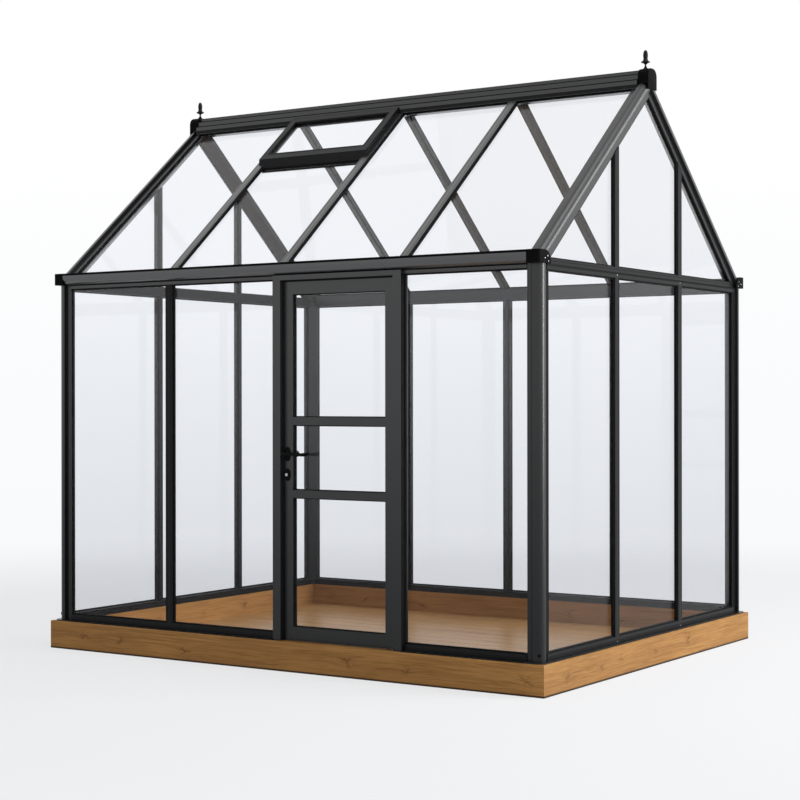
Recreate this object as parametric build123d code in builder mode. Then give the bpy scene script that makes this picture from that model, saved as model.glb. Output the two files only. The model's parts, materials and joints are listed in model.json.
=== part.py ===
from build123d import *
import os
from math import cos, radians, sin, tan

# A gabled glass greenhouse on a timber base, with a hinged door in one long side.
# Millimetres. The origin is the middle of the plan at ground level, +X runs along the ridge,
# the door side faces -Y and +Z is up.

os.makedirs("parts", exist_ok=True)

# Overall metal frame, measured over its outside faces
frame_length = 3000.0
frame_width = 2340.0
wall_height = 1843.0
roof_pitch = 40.0
roof_over_wall = 35.0
side_bays = 4
gable_bays = 3

# Timber base and deck
base_height = 150.0
base_thickness = 100.0
base_lip = 42.0
base_edge_radius = 4.0
deck_thickness = 25.0

# Glazing
glass_thickness = 4.0
glass_setback = 19.0
groove_depth = 12.0
pane_clearance = 0.5

# Wall and roof bars
wall_depth = 50.0
bar_face = 46.0
bar_depth = 30.0
bar_flange = 18.0
flute_width = 3.0
flute_depth = 2.0
flute_inset = 8.0

# Quarter-round corner profile of the posts and the barge bars
corner_face = 70.0
corner_radius = 38.0
nose_proud = 12.0
corner_flange = 6.0
ear_width = 36.0
ear_step = 4.0
ear_rib = 4.0
ear_groove = 2.5
ear_groove_depth = 1.5

# Sill rails
sill_height = 36.0
sill_lip = 30.0
sill_lip_thickness = 6.0
sill_lip_radius = 40.0
tier_line = 3.0
tier_line_share = 0.5

# Rails at the top of the walls
eave_rail_height = 21.0
gable_rail_below = 25.0
gable_rail_above = 27.0

# Gutters and their corner caps
gutter_reach = 42.0
gutter_height = 62.0
gutter_radius = 42.0
gutter_wall = 3.0
gutter_bead = 6.0
gutter_groove = 4.0
gutter_inset = 14.0
gutter_back_height = 12.0
gutter_cap_length = 50.0
gutter_cap_reach = 20.0
gutter_cap_radius = 52.0
gutter_cap_edge = 20.0

# Ridge, its end caps and finials
ridge_core_width = 60.0
ridge_core_drop = 60.0
ridge_low_width = 124.0
ridge_mid_width = 90.0
ridge_top_width = 52.0
ridge_low_rise = -10.0
ridge_mid_rise = 21.0
ridge_top_rise = 46.0
ridge_line = 8.0
ridge_line_depth = 6.0
ridge_cap_width = 104.0
ridge_cap_inset = 42.0
ridge_cap_plate = 6.0
ridge_cap_drop = 55.0
ridge_cap_rise = 7.0
ridge_cap_radius = 40.0
ridge_cap_edge = 4.0
finial_height = 99.0
finial_radius = 23.0
finial_inset = 22.0

# Finial outline, arc by arc from foot to tip, as shares of its radius and height
finial_arc_shares = (
    ((0.63, 0.0), (0.34, 0.09), (0.17, 0.2)),
    ((0.17, 0.2), (0.44, 0.29), (1.0, 0.35)),
    ((1.0, 0.39), (0.62, 0.455), (0.48, 0.545)),
    ((0.48, 0.545), (0.55, 0.74), (0.38, 0.93)),
)
finial_tip_shares = ((0.38, 0.93), (0.24, 0.98), (0.0, 1.0))

# Roof vent in the second bay of the front slope
vent_after_bays = 1
vent_run = 392.0
vent_thickness = 28.0
vent_stile = 38.0
vent_top_rail = 34.0
vent_low_rail = 42.0
vent_ridge_gap = 2.0
vent_bar_below = 4.0
vent_bar_width = 30.0

# Door frame
door_after_bays = 2
jamb_face = 48.0
jamb_proud = 22.0
header_height = 25.0
header_gap = 3.0

# Door leaf
leaf_setback = 5.0
leaf_thickness = 35.0
leaf_side_gap = 7.0
leaf_end_gap = 5.0
latch_stile = 52.0
hinge_stile = 54.0
top_rail = 66.0
bottom_rail = 67.0
upper_bar_height = 1236.0
upper_bar = 41.0
lower_bar_height = 871.0
lower_bar = 39.0

# Door hinges, on the inside of the leaf
hinge_heights = (380.0, 1060.0, 1740.0)
hinge_length = 90.0
hinge_barrel_radius = 7.0
hinge_pin_radius = 3.5
hinge_axis_offset = 9.0
hinge_plate_width = 34.0
hinge_plate_thickness = 3.0
hinge_running_gap = 0.05
hinge_end_gap = 0.3

# Lever handle and keyhole plate
handle_height = 1090.0
handle_inset = 20.0
rose_width = 36.0
rose_height = 72.0
rose_thickness = 8.0
keyhole_drop = 104.0
cylinder_radius = 8.0
cylinder_reach = 5.0
spindle_radius = 6.0
spindle_gap = 0.1
neck_radius = 9.0
lever_stand = 42.0
lever_length = 160.0
lever_width = 20.0
lever_thickness = 12.0
knob_radius = 18.0

# Places worked out from the sizes above
half_length = frame_length / 2
half_width = frame_width / 2
post_top = base_height + wall_height
slope = tan(radians(roof_pitch))
slope_cosine = cos(radians(roof_pitch))
slope_sine = sin(radians(roof_pitch))
apex_height = post_top + roof_over_wall + half_width * slope
base_half_length = half_length + base_lip
base_half_width = half_width + base_lip
sill_top = base_height + sill_height
eave_rail_bottom = post_top - eave_rail_height
gable_rail_bottom = post_top - gable_rail_below
gable_rail_top = post_top + gable_rail_above
cover_depth = glass_setback - pane_clearance
flange_start = glass_setback + glass_thickness + pane_clearance
web_half = bar_face / 2 - groove_depth
nose = corner_face - ear_width
post_inner_x = half_length - corner_face
post_inner_y = half_width - corner_face
eave_run = half_width - gutter_inset
core_half = ridge_core_width / 2
leaf_inner = leaf_setback + leaf_thickness


def bar_lines(half_span, bays):
    """Centre lines of the bars that divide a wall into equal clear panes between its corners."""
    clear = (2 * (half_span - corner_face) - (bays - 1) * bar_face) / bays
    first = -half_span + corner_face + clear + bar_face / 2
    return [first + step * (clear + bar_face) for step in range(bays - 1)]


side_lines = bar_lines(half_length, side_bays)
gable_lines = bar_lines(half_width, gable_bays)
latch_line = side_lines[door_after_bays - 1]
hinge_line = side_lines[door_after_bays]
latch_jamb_face = latch_line + jamb_face / 2
hinge_jamb_face = hinge_line - jamb_face / 2


def keep(piece, name):
    """Label a finished piece and write its file."""
    piece.part.label = name
    export_step(piece.part, f"parts/{name}.step")


def block(low_u, high_u, low_v, high_v, mode=Mode.ADD):
    """Rectangle between two corners of the open sketch."""
    with Locations(((low_u + high_u) / 2, (low_v + high_v) / 2)):
        Rectangle(abs(high_u - low_u), abs(high_v - low_v), mode=mode)


def plan(wall, along, depth):
    """Plan point at a distance along a wall and a depth in from its outside face."""
    if wall == "front":
        return along, depth - half_width
    if wall == "back":
        return along, half_width - depth
    if wall == "left":
        return depth - half_length, along
    return half_length - depth, along


def wall_block(wall, low_along, high_along, low_depth, high_depth, mode=Mode.ADD):
    """Rectangle in plan on one wall, between two distances along it and two depths."""
    low_u, low_v = plan(wall, low_along, low_depth)
    high_u, high_v = plan(wall, high_along, high_depth)
    block(low_u, high_u, low_v, high_v, mode)


def bar_section(wall, line):
    """Plan section of a glazing bar: fluted cover outside, web between panes, flange inside."""
    wall_block(wall, line - bar_face / 2, line + bar_face / 2, 0, cover_depth)
    wall_block(wall, line - web_half, line + web_half, 0, bar_depth)
    wall_block(wall, line - bar_flange / 2, line + bar_flange / 2, flange_start, bar_depth)
    for side in (-1, 1):
        edge = line + side * (bar_face / 2 - flute_inset)
        wall_block(wall, edge, edge - side * flute_width, 0, flute_depth, Mode.SUBTRACT)


def corner_section():
    """Quarter-round profile from its outside corner: a proud rounded nose, two grooved ears, two pane grooves."""
    groove_floor = corner_face - groove_depth
    ear_floor = ear_step + ear_groove_depth
    flange_end = flange_start + corner_flange
    arc_centre = corner_radius - nose_proud
    ear = [(nose, -nose_proud), (nose, ear_step)]
    for ribs in (1, 2):
        groove_start = nose + ribs * ear_rib + (ribs - 1) * ear_groove
        groove_end = groove_start + ear_groove
        ear += [(groove_start, ear_step), (groove_start, ear_floor), (groove_end, ear_floor), (groove_end, ear_step)]
    ear.append((corner_face, ear_step))
    other_ear = [(high, low) for low, high in reversed(ear)]
    with BuildLine() as outline:
        Polyline(
            (arc_centre, -nose_proud),
            *ear,
            (corner_face, cover_depth),
            (groove_floor, cover_depth),
            (groove_floor, flange_start),
            (corner_face, flange_start),
            (corner_face, flange_end),
            (flange_end, corner_face),
            (flange_start, corner_face),
            (flange_start, groove_floor),
            (cover_depth, groove_floor),
            (cover_depth, corner_face),
            *other_ear,
            (-nose_proud, arc_centre),
        )
        CenterArc((arc_centre, arc_centre), corner_radius, 180, 90)
    make_face(outline.edges())


def roof_point(side, run, depth):
    """Point of the YZ plane at a plan distance from the ridge line and a depth square to the roof face."""
    return side * run, apex_height - run * slope - depth / slope_cosine


def roof_band(side, low_run, high_run, low_depth, high_depth):
    """Slanted strip of the YZ plane between two runs and two depths, with upright ends."""
    Polygon(
        roof_point(side, low_run, low_depth),
        roof_point(side, high_run, low_depth),
        roof_point(side, high_run, high_depth),
        roof_point(side, low_run, high_depth),
        align=None,
    )


def across(low_x, high_x):
    """Upright plane halfway between two distances along the ridge, and half the distance."""
    return Plane.YZ.offset((low_x + high_x) / 2), abs(high_x - low_x) / 2


def pane_spans(half_span, lines):
    """Spans of the panes between the corner grooves and the bar grooves of one wall."""
    corner_edge = half_span - corner_face + groove_depth - pane_clearance
    bar_edge = web_half + pane_clearance
    starts = [-corner_edge] + [line + bar_edge for line in lines]
    ends = [line - bar_edge for line in lines] + [corner_edge]
    return list(zip(starts, ends))


# Timber base: four beams mitred at the corners, with the deck lying between them
inner_half_length = base_half_length - base_thickness
inner_half_width = base_half_width - base_thickness

for name, side in (("base_front_beam", -1), ("base_back_beam", 1)):
    with BuildPart() as side_beam:
        with BuildSketch():
            Polygon(
                (-base_half_length, side * base_half_width),
                (base_half_length, side * base_half_width),
                (inner_half_length, side * inner_half_width),
                (-inner_half_length, side * inner_half_width),
                align=None,
            )
        extrude(amount=base_height, dir=(0, 0, 1))
        top_edges = side_beam.edges().filter_by(Axis.X).group_by(Axis.Z)[-1]
        fillet(top_edges.sort_by(Axis((0, 0, 0), (0, side, 0)))[-1], radius=base_edge_radius)
    keep(side_beam, name)

for name, side in (("base_left_beam", -1), ("base_right_beam", 1)):
    with BuildPart() as end_beam:
        with BuildSketch():
            Polygon(
                (side * base_half_length, -base_half_width),
                (side * base_half_length, base_half_width),
                (side * inner_half_length, inner_half_width),
                (side * inner_half_length, -inner_half_width),
                align=None,
            )
        extrude(amount=base_height, dir=(0, 0, 1))
        top_edges = end_beam.edges().filter_by(Axis.Y).group_by(Axis.Z)[-1]
        fillet(top_edges.sort_by(Axis((0, 0, 0), (side, 0, 0)))[-1], radius=base_edge_radius)
    keep(end_beam, name)

with BuildPart() as deck:
    with BuildSketch():
        Rectangle(2 * inner_half_length, 2 * inner_half_width)
    extrude(amount=deck_thickness)
keep(deck, "floor_deck")


# Sill rails, broken only at the doorway, with a drip lip at the foot and a fine line between two tiers
sill_runs = (
    ("front_left_sill", "front", -post_inner_x, latch_line - jamb_face / 2),
    ("front_right_sill", "front", hinge_line + jamb_face / 2, post_inner_x),
    ("back_sill", "back", -post_inner_x, post_inner_x),
    ("left_sill", "left", -post_inner_y, post_inner_y),
    ("right_sill", "right", -post_inner_y, post_inner_y),
)
for name, wall, low_along, high_along in sill_runs:
    with BuildPart() as sill_rail:
        with BuildSketch(Plane.XY.offset(base_height)):
            wall_block(wall, low_along, high_along, 0, wall_depth)
        extrude(amount=sill_height)
        with BuildSketch(Plane.XY.offset(base_height)):
            wall_block(wall, low_along, high_along, -sill_lip, 0)
        extrude(amount=sill_lip_thickness)
        with BuildSketch(Plane.XY.offset(base_height + sill_height * tier_line_share)):
            wall_block(wall, low_along, high_along, 0, tier_line)
        extrude(amount=tier_line, mode=Mode.SUBTRACT)
    keep(sill_rail, name)

# Corner posts, quarter-round outside, standing on the base on a foot plate that carries the sill lips round
corners = (
    ("front_left", -1, -1),
    ("front_right", 1, -1),
    ("back_left", -1, 1),
    ("back_right", 1, 1),
)
for name, end, side in corners:
    inward = (-end, 0, 0) if end == side else (0, -side, 0)
    foot = Plane(origin=(end * half_length, side * half_width, base_height), x_dir=inward, z_dir=(0, 0, 1))
    with BuildPart() as post:
        with BuildSketch(foot):
            corner_section()
        extrude(amount=wall_height)
        with BuildSketch(foot):
            block(-sill_lip, corner_face, -sill_lip, corner_face)
            foot_corner = vertices().sort_by(Axis((0, 0, 0), (end, side, 0)))[-1]
            fillet(foot_corner, radius=sill_lip_radius)
        extrude(amount=sill_lip_thickness)
    keep(post, f"{name}_post")

# Glazing bars of the front and back walls
with BuildPart() as front_mullion:
    with BuildSketch(Plane.XY.offset(sill_top)):
        bar_section("front", side_lines[0])
    extrude(amount=eave_rail_bottom - sill_top)
keep(front_mullion, "front_mullion")

with BuildPart() as back_mullions:
    with BuildSketch(Plane.XY.offset(sill_top)):
        for line in side_lines:
            bar_section("back", line)
    extrude(amount=eave_rail_bottom - sill_top)
keep(back_mullions, "back_mullions")

# Door jambs and header stand proud of the wall and carry the leaf between them
for name, line, pane_side in (("latch_jamb", latch_line, -1), ("hinge_jamb", hinge_line, 1)):
    pane_face = line + pane_side * jamb_face / 2
    with BuildPart() as jamb:
        with BuildSketch(Plane.XY.offset(base_height)):
            wall_block("front", line - jamb_face / 2, line + jamb_face / 2, -jamb_proud, leaf_inner)
            wall_block(
                "front",
                pane_face,
                pane_face - pane_side * groove_depth,
                cover_depth,
                flange_start,
                Mode.SUBTRACT,
            )
        extrude(amount=eave_rail_bottom - base_height)
        with BuildSketch(Plane.XY.offset(eave_rail_bottom)):
            wall_block("front", line - jamb_face / 2, line + jamb_face / 2, -jamb_proud, 0)
        extrude(amount=eave_rail_height - header_gap)
    keep(jamb, name)

header_top = post_top - header_gap
header_bottom = header_top - header_height
with BuildPart() as header:
    with BuildSketch(Plane.XY.offset(header_bottom)):
        wall_block("front", latch_jamb_face, hinge_jamb_face, -jamb_proud, 0)
    extrude(amount=header_height)
    with BuildSketch(Plane.XY.offset(header_bottom)):
        wall_block("front", latch_jamb_face, hinge_jamb_face, 0, leaf_inner)
    extrude(amount=eave_rail_bottom - header_bottom)
keep(header, "door_header")

# Eave rails carry the feet of the roof bars and the lower edge of the roof glass
for name, side in (("front_eave_rail", -1), ("back_eave_rail", 1)):
    with BuildPart() as eave_rail:
        with BuildSketch(Plane.YZ):
            Polygon(
                (side * half_width, eave_rail_bottom),
                (side * (half_width - wall_depth), eave_rail_bottom),
                roof_point(side, half_width - wall_depth, flange_start),
                roof_point(side, eave_run, flange_start),
                (side * eave_run, post_top),
                (side * half_width, post_top),
                align=None,
            )
        extrude(amount=post_inner_x, both=True)
    keep(eave_rail, name)

# Gutters: a quarter-round trough on each long side, open at the top, with a bead along its lip
gutter_front = half_width + gutter_reach
gutter_centre = gutter_front - gutter_radius
gutter_lip = post_top + gutter_height
gutter_half_length = half_length - gutter_cap_length
diagonal_share = sin(radians(45))


def trough_arc(side, radius):
    """Quarter circle of the trough, from its floor round to its front, about one centre."""
    reach = radius * diagonal_share
    centre_height = post_top + gutter_radius
    ThreePointArc(
        (side * gutter_centre, centre_height - radius),
        (side * (gutter_centre + reach), centre_height - reach),
        (side * (gutter_centre + radius), centre_height),
    )


for name, side in (("front_gutter", -1), ("back_gutter", 1)):
    inner_radius = gutter_radius - gutter_wall
    groove_foot = gutter_lip - gutter_bead - gutter_groove
    groove_back = gutter_front - gutter_wall
    back_inner = eave_run + gutter_wall
    with BuildPart() as gutter:
        with BuildSketch(Plane.YZ):
            with BuildLine():
                trough_arc(side, gutter_radius)
                Polyline(
                    (side * gutter_front, post_top + gutter_radius),
                    (side * gutter_front, groove_foot),
                    (side * groove_back, groove_foot),
                    (side * groove_back, gutter_lip - gutter_bead),
                    (side * gutter_front, gutter_lip - gutter_bead),
                    (side * gutter_front, gutter_lip),
                    (side * (groove_back - gutter_wall), gutter_lip),
                    (side * (groove_back - gutter_wall), groove_foot - gutter_wall),
                    (side * groove_back, groove_foot - gutter_wall),
                    (side * groove_back, post_top + gutter_radius),
                )
                trough_arc(side, inner_radius)
                Polyline(
                    (side * gutter_centre, post_top + gutter_wall),
                    (side * back_inner, post_top + gutter_wall),
                    (side * back_inner, post_top + gutter_back_height),
                    (side * eave_run, post_top + gutter_back_height),
                    (side * eave_run, post_top),
                    (side * gutter_centre, post_top),
                )
            make_face()
        extrude(amount=gutter_half_length, both=True)
    keep(gutter, name)

# Black corner caps close the gutter ends and wrap round the foot of each barge bar, round at the top inside
cap_outer = half_length + gutter_cap_reach
cap_arc_start = post_inner_y + gutter_cap_radius
cap_arc_middle = gutter_cap_radius * (1 - diagonal_share)
for name, side in (("front_gutter_caps", -1), ("back_gutter_caps", 1)):
    with BuildPart() as gutter_caps:
        for end in (-1, 1):
            cap_plane, cap_half = across(end * gutter_half_length, end * cap_outer)
            with BuildSketch(cap_plane):
                with BuildLine():
                    Polyline(
                        (side * post_inner_y, gutter_lip - gutter_cap_radius),
                        (side * post_inner_y, post_top),
                        (side * gutter_front, post_top),
                        (side * gutter_front, gutter_lip),
                        (side * cap_arc_start, gutter_lip),
                    )
                    ThreePointArc(
                        (side * cap_arc_start, gutter_lip),
                        (side * (post_inner_y + cap_arc_middle), gutter_lip - cap_arc_middle),
                        (side * post_inner_y, gutter_lip - gutter_cap_radius),
                    )
                make_face()
            extrude(amount=cap_half, both=True)
            with BuildSketch(Plane.XY.offset(post_top)):
                block(end * gutter_half_length, end * (half_length + nose_proud), side * post_inner_y, side * eave_run)
            extrude(amount=gutter_height, mode=Mode.SUBTRACT)
        corners_upright = gutter_caps.edges().filter_by(Axis.Z).filter_by(
            lambda edge: abs(abs(edge.center().Y) - gutter_front) < pane_clearance
            and abs(abs(edge.center().X) - cap_outer) < pane_clearance
        )
        fillet(corners_upright, radius=gutter_cap_edge)
    keep(gutter_caps, name)


def under_barge(along):
    """Height of the underside of the barge bars at a distance from the ridge line."""
    return roof_point(1, abs(along), corner_face)[1]


# Gable tie rails between the corner posts, with a fine line between their two tiers
rail_shoulder = (roof_point(1, 0, corner_face)[1] - gable_rail_top) / slope
for wall, end in (("left", -1), ("right", 1)):
    rail_plane, rail_half = across(end * half_length, end * (half_length - wall_depth))
    line_plane, line_half = across(end * half_length, end * (half_length - tier_line))
    with BuildPart() as gable_rail:
        with BuildSketch(rail_plane):
            Polygon(
                (-post_inner_y, gable_rail_bottom),
                (post_inner_y, gable_rail_bottom),
                (post_inner_y, under_barge(post_inner_y)),
                (rail_shoulder, gable_rail_top),
                (-rail_shoulder, gable_rail_top),
                (-post_inner_y, under_barge(post_inner_y)),
                align=None,
            )
        extrude(amount=rail_half, both=True)
        with BuildSketch(line_plane):
            block(-post_inner_y, post_inner_y, post_top, post_top + tier_line)
        extrude(amount=line_half, both=True, mode=Mode.SUBTRACT)
    keep(gable_rail, f"{wall}_gable_rail")


def gable_strip(low_along, high_along):
    """Upright strip of a gable from the tie rail to the underside of the barge bars."""
    Polygon(
        (low_along, gable_rail_top),
        (high_along, gable_rail_top),
        (high_along, under_barge(high_along)),
        (low_along, under_barge(low_along)),
        align=None,
    )


# Gable bars, one length under the tie rail and one above it
bar_layers = (
    (bar_face / 2, 0, cover_depth),
    (web_half, cover_depth, flange_start),
    (bar_flange / 2, flange_start, bar_depth),
)
for wall, end in (("left", -1), ("right", 1)):
    with BuildPart() as gable_mullions:
        with BuildSketch(Plane.XY.offset(sill_top)):
            for line in gable_lines:
                bar_section(wall, line)
        extrude(amount=gable_rail_bottom - sill_top)
        for line in gable_lines:
            for half_face, low_depth, high_depth in bar_layers:
                layer, layer_half = across(end * (half_length - low_depth), end * (half_length - high_depth))
                with BuildSketch(layer):
                    gable_strip(line - half_face, line + half_face)
                extrude(amount=layer_half, both=True)
            flutes, flute_half = across(end * half_length, end * (half_length - flute_depth))
            with BuildSketch(flutes):
                for edge_side in (-1, 1):
                    edge = line + edge_side * (bar_face / 2 - flute_inset)
                    block(edge, edge - edge_side * flute_width, gable_rail_top, apex_height)
            extrude(amount=flute_half, both=True, mode=Mode.SUBTRACT)
    keep(gable_mullions, f"{wall}_gable_mullions")

# Barge bars: the corner profile laid up the slope, mitred at the ridge and cut level on the post
for name, end, side in corners:
    down_slope = (0, side * slope_cosine, -slope_sine)
    into_roof = (0, -side * slope_sine, -slope_cosine)
    across_roof = (-end, 0, 0)
    barge_length = half_width / slope_cosine
    section = Plane(
        origin=(end * half_length, -side * half_width, apex_height + half_width * slope),
        x_dir=across_roof if end != side else into_roof,
        z_dir=down_slope,
    )
    with BuildPart() as barge:
        with BuildSketch(section):
            corner_section()
        extrude(amount=2 * barge_length)
        split(bisect_by=Plane(origin=(0, 0, 0), z_dir=(0, side, 0)), keep=Keep.TOP)
        split(bisect_by=Plane(origin=(0, side * eave_run, 0), z_dir=(0, -side, 0)), keep=Keep.TOP)
        split(bisect_by=Plane(origin=(0, 0, post_top), z_dir=(0, 0, 1)), keep=Keep.TOP)
    keep(barge, f"{name}_barge")

# Roof bars from the ridge core down over the eave rails
roof_layers = (
    (bar_face / 2, 0, cover_depth, eave_run),
    (web_half, cover_depth, flange_start, eave_run),
    (bar_flange / 2, flange_start, bar_depth, half_width - wall_depth),
)
for name, side in (("front_rafters", -1), ("back_rafters", 1)):
    with BuildPart() as rafters:
        for line in side_lines:
            for half_face, low_depth, high_depth, foot_run in roof_layers:
                with BuildSketch(Plane.YZ.offset(line)):
                    roof_band(side, core_half, foot_run, low_depth, high_depth)
                extrude(amount=half_face, both=True)
            for edge_side in (-1, 1):
                edge = line + edge_side * (bar_face / 2 - flute_inset)
                flute_plane, flute_half = across(edge, edge - edge_side * flute_width)
                with BuildSketch(flute_plane):
                    roof_band(side, core_half, eave_run, 0, flute_depth)
                extrude(amount=flute_half, both=True, mode=Mode.SUBTRACT)
    keep(rafters, name)

# Ridge: a core between the barge bars with a stepped cover over the roof faces, a deep line under each step
low_half = ridge_low_width / 2
mid_half = ridge_mid_width / 2
top_half = ridge_top_width / 2
ridge_top = apex_height + ridge_top_rise
mid_step = apex_height + ridge_mid_rise
low_step = apex_height + ridge_low_rise
cap_start = half_length - ridge_cap_inset
with BuildPart() as ridge:
    with BuildSketch(Plane.YZ):
        with BuildLine():
            half_outline = (
                (0, ridge_top),
                (top_half, ridge_top),
                (top_half, mid_step + ridge_line),
                (top_half - ridge_line_depth, mid_step + ridge_line),
                (top_half - ridge_line_depth, mid_step),
                (mid_half, mid_step),
                (mid_half, low_step + ridge_line),
                (mid_half - ridge_line_depth, low_step + ridge_line),
                (mid_half - ridge_line_depth, low_step),
                (low_half, low_step),
                roof_point(1, low_half, 0),
                (0, apex_height),
            )
            Polyline(*half_outline)
            mirror(about=Plane.YZ)
        make_face()
    extrude(amount=cap_start, both=True)
    with BuildSketch(Plane.YZ):
        Polygon(
            (0, apex_height),
            roof_point(1, core_half, 0),
            (core_half, apex_height - ridge_core_drop),
            (-core_half, apex_height - ridge_core_drop),
            roof_point(-1, core_half, 0),
            align=None,
        )
    extrude(amount=post_inner_x, both=True)
keep(ridge, "ridge_beam")

# Round-topped black caps over the ridge ends, flat at the crown for the finials
cap_top = ridge_top + ridge_cap_rise
cap_half_width = ridge_cap_width / 2
nose_face = half_length + nose_proud
with BuildPart() as ridge_caps:
    for end in (-1, 1):
        saddle, saddle_half = across(end * cap_start, end * nose_face)
        with BuildSketch(saddle):
            Polygon(
                roof_point(-1, cap_half_width, -nose_proud),
                roof_point(1, 0, -nose_proud),
                roof_point(1, cap_half_width, -nose_proud),
                (cap_half_width, cap_top),
                (-cap_half_width, cap_top),
                align=None,
            )
            fillet(vertices().group_by(Axis.Y)[-1], radius=ridge_cap_radius)
        extrude(amount=saddle_half, both=True)
        plate, plate_half = across(end * nose_face, end * (nose_face + ridge_cap_plate))
        with BuildSketch(plate):
            Polygon(
                (-cap_half_width, apex_height - ridge_cap_drop),
                (cap_half_width, apex_height - ridge_cap_drop),
                (cap_half_width, cap_top),
                (-cap_half_width, cap_top),
                align=None,
            )
            fillet(vertices().group_by(Axis.Y)[-1], radius=ridge_cap_radius)
        extrude(amount=plate_half, both=True)
    fillet(ridge_caps.faces().sort_by(Axis.X)[0].edges(), radius=ridge_cap_edge)
    fillet(ridge_caps.faces().sort_by(Axis.X)[-1].edges(), radius=ridge_cap_edge)
keep(ridge_caps, "ridge_caps")

# Turned finials standing on the caps
with BuildPart() as finials:
    for end in (-1, 1):
        finial_foot = (end * (half_length - finial_inset), 0, cap_top)
        finial_plane = Plane(origin=finial_foot, x_dir=(1, 0, 0), z_dir=(0, -1, 0))
        with BuildSketch(finial_plane):
            with BuildLine():
                arcs = [
                    [(finial_radius * wide, finial_height * high) for wide, high in shares]
                    for shares in finial_arc_shares
                ]
                tip = [(finial_radius * wide, finial_height * high) for wide, high in finial_tip_shares]
                for low, middle, high in arcs:
                    ThreePointArc(low, middle, high)
                Line(arcs[1][-1], arcs[2][0])
                Polyline(*tip, (0, 0), arcs[0][0])
            make_face()
        revolve(axis=Axis(finial_foot, (0, 0, 1)))
keep(finials, "finials")

# Upright panes stand on the sills with their sides in the bar grooves
jamb_groove = jamb_face / 2 - groove_depth + pane_clearance
corner_edge = post_inner_x + groove_depth - pane_clearance
bar_edge = web_half + pane_clearance
front_spans = (
    (-corner_edge, side_lines[0] - bar_edge),
    (side_lines[0] + bar_edge, latch_line - jamb_groove),
    (hinge_line + jamb_groove, corner_edge),
)
side_panes = (
    ("front_panes", "front", front_spans),
    ("back_panes", "back", pane_spans(half_length, side_lines)),
)
for name, wall, spans in side_panes:
    with BuildPart() as wall_panes:
        with BuildSketch(Plane.XY.offset(sill_top)):
            for low_along, high_along in spans:
                wall_block(wall, low_along, high_along, glass_setback, glass_setback + glass_thickness)
        extrude(amount=eave_rail_bottom - sill_top - pane_clearance)
    keep(wall_panes, name)

# Gable panes: upright ones under the tie rail and shaped ones above it, up into the barge grooves
pane_top_depth = corner_face - groove_depth + pane_clearance
pane_reach = (roof_point(1, 0, pane_top_depth)[1] - gable_rail_top) / slope
for wall, end in (("left", -1), ("right", 1)):
    pane_plane, pane_half = across(
        end * (half_length - glass_setback), end * (half_length - glass_setback - glass_thickness)
    )
    gable_spans = pane_spans(half_width, gable_lines)
    with BuildPart() as low_panes:
        with BuildSketch(Plane.XY.offset(sill_top)):
            for low_along, high_along in gable_spans:
                wall_block(wall, low_along, high_along, glass_setback, glass_setback + glass_thickness)
        extrude(amount=gable_rail_bottom - sill_top - pane_clearance)
    keep(low_panes, f"{wall}_gable_panes")
    with BuildPart() as high_panes:
        with BuildSketch(pane_plane):
            Polygon(
                (-pane_reach, gable_rail_top),
                (pane_reach, gable_rail_top),
                roof_point(1, 0, pane_top_depth),
                align=None,
            )
            for line in gable_lines:
                block(line - bar_edge, line + bar_edge, gable_rail_top, apex_height, Mode.SUBTRACT)
        extrude(amount=pane_half, both=True)
    keep(high_panes, f"{wall}_gable_top_panes")

# Roof panes lie in the roof bar grooves and end over the back edge of the gutters
roof_spans = pane_spans(half_length, side_lines)
vent_bar_foot = vent_run + vent_bar_below
for name, side in (("front_roof_panes", -1), ("back_roof_panes", 1)):
    with BuildPart() as roof_panes:
        for bay, (low_x, high_x) in enumerate(roof_spans):
            vented = side == -1 and bay == vent_after_bays
            pane_head = vent_bar_foot + pane_clearance if vented else core_half + pane_clearance
            pane_plane, pane_half = across(low_x, high_x)
            with BuildSketch(pane_plane):
                roof_band(side, pane_head, eave_run, glass_setback, glass_setback + glass_thickness)
            extrude(amount=pane_half, both=True)
    keep(roof_panes, name)

# Roof vent, closed, lying on the roof bars and on a cross bar under its lower edge
vent_low_x = side_lines[vent_after_bays - 1]
vent_high_x = side_lines[vent_after_bays]
vent_head = low_half + vent_ridge_gap
with BuildPart() as vent_bar:
    bar_plane, bar_half = across(vent_low_x + bar_face / 2, vent_high_x - bar_face / 2)
    with BuildSketch(bar_plane):
        roof_band(-1, vent_bar_foot - vent_bar_width, vent_bar_foot, 0, bar_depth)
    extrude(amount=bar_half, both=True)
keep(vent_bar, "vent_cross_bar")

with BuildPart() as vent_stiles:
    for low_x, high_x in ((vent_low_x, vent_low_x + vent_stile), (vent_high_x - vent_stile, vent_high_x)):
        stile_plane, stile_half = across(low_x, high_x)
        with BuildSketch(stile_plane):
            roof_band(-1, vent_head, vent_run, -vent_thickness, 0)
        extrude(amount=stile_half, both=True)
keep(vent_stiles, "vent_stiles")

vent_plane, vent_half = across(vent_low_x + vent_stile, vent_high_x - vent_stile)
with BuildPart() as vent_rails:
    for low_run, high_run in ((vent_head, vent_head + vent_top_rail), (vent_run - vent_low_rail, vent_run)):
        with BuildSketch(vent_plane):
            roof_band(-1, low_run, high_run, -vent_thickness, 0)
        extrude(amount=vent_half, both=True)
keep(vent_rails, "vent_rails")

with BuildPart() as vent_pane:
    with BuildSketch(vent_plane):
        roof_band(
            -1,
            vent_head + vent_top_rail + pane_clearance,
            vent_run - vent_low_rail - pane_clearance,
            -vent_thickness / 2 - glass_thickness / 2,
            -vent_thickness / 2 + glass_thickness / 2,
        )
    extrude(amount=vent_half - pane_clearance, both=True)
keep(vent_pane, "vent_pane")

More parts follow.
